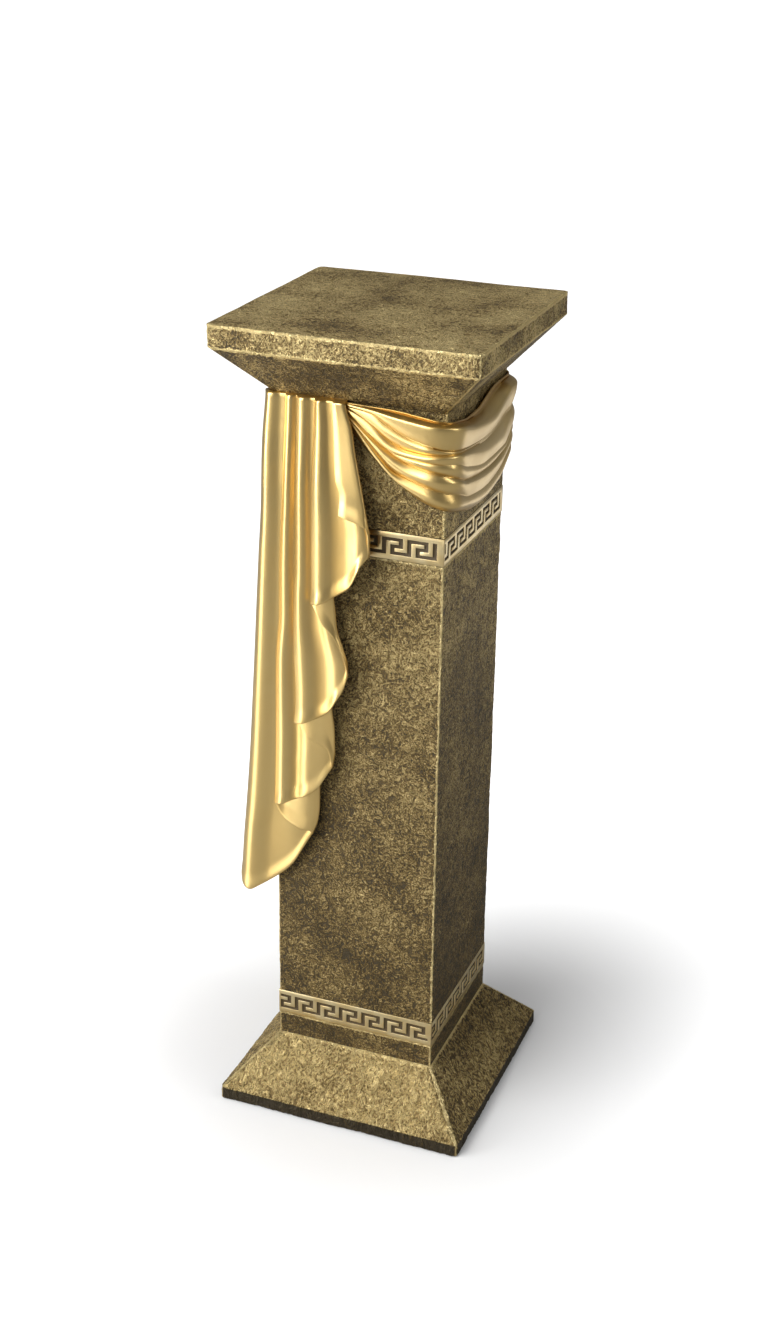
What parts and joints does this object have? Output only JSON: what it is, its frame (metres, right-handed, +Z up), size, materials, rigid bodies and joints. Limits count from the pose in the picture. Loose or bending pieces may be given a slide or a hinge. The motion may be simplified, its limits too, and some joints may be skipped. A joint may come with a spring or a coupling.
{
  "type": "pedestal column stand",
  "caption": "Square pedestal column with a sloped foot, a flared square top, inlaid Greek-key bands and a cast drape hung over one side; it carries a vase, plant or bust.",
  "frame": {"origin": "on the floor, under the middle of the column", "axes": "+Z up; the face with the hanging drape looks along -Y, and the swag's long side is on +X"},
  "size_m": [0.255, 0.255, 0.8],
  "materials": {
    "bronze_casting": "satin",
    "gold_drape": "satin",
    "gold_key_strip": "satin",
    "zinc_steel": "satin",
    "brass_insert": "satin",
    "felt": "matte"
  },
  "bodies": {
    "root": {"base": "bronze_casting", "shaft": "bronze_casting", "capital": "bronze_casting", "lower_key_strip_front": "gold_key_strip", "lower_key_strip_right": "gold_key_strip", "lower_key_strip_back": "gold_key_strip", "lower_key_strip_left": "gold_key_strip", "upper_key_strip_front": "gold_key_strip", "upper_key_strip_right": "gold_key_strip", "upper_key_strip_back": "gold_key_strip", "upper_key_strip_left": "gold_key_strip", "drape_tail": "gold_drape", "drape_swag": "gold_drape", "tail_pegs": "zinc_steel", "swag_pegs": "zinc_steel", "rod_insert": "brass_insert", "tie_rod": "zinc_steel", "clamp_plate": "zinc_steel", "rod_washer": "zinc_steel", "rod_nut": "zinc_steel", "felt_pad_front_left": "felt", "felt_pad_front_right": "felt", "felt_pad_back_right": "felt", "felt_pad_back_left": "felt"}
  },
  "joints": []
}
